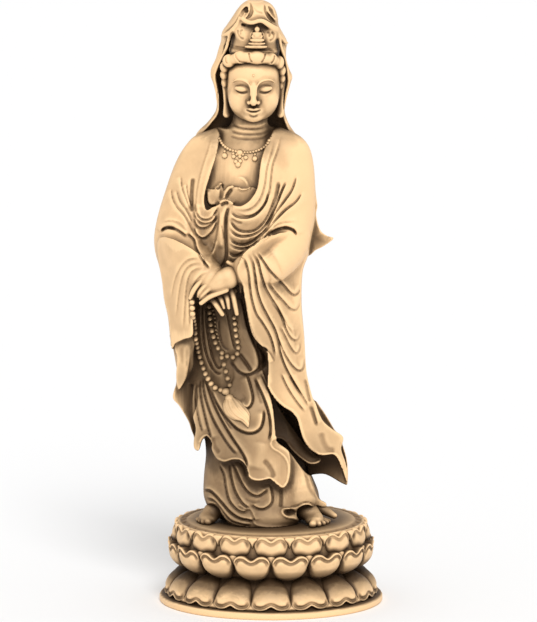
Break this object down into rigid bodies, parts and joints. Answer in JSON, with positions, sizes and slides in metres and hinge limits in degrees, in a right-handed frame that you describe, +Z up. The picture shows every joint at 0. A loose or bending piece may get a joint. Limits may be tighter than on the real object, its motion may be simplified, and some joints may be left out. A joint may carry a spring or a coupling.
{
  "type": "guanyin statuette",
  "caption": "Standing robed guanyin holding a string of prayer beads, veil over a high topknot, on a round double lotus plinth.",
  "frame": {"origin": "centre of the plinth's round underside", "axes": "+Z up through the figure, the face looks along -Y, +X to the viewer's right"},
  "size_m": [0.1139, 0.1114, 0.303],
  "materials": {
    "carved_figure": "cast ivory-coloured resin, satin, with dark umber patina in the recesses",
    "carved_plinth": "cast ivory-coloured resin, satin, with dark umber patina in the recesses"
  },
  "bodies": {
    "root": {"guanyin_figure": "carved_figure", "lotus_plinth": "carved_plinth"}
  },
  "joints": []
}
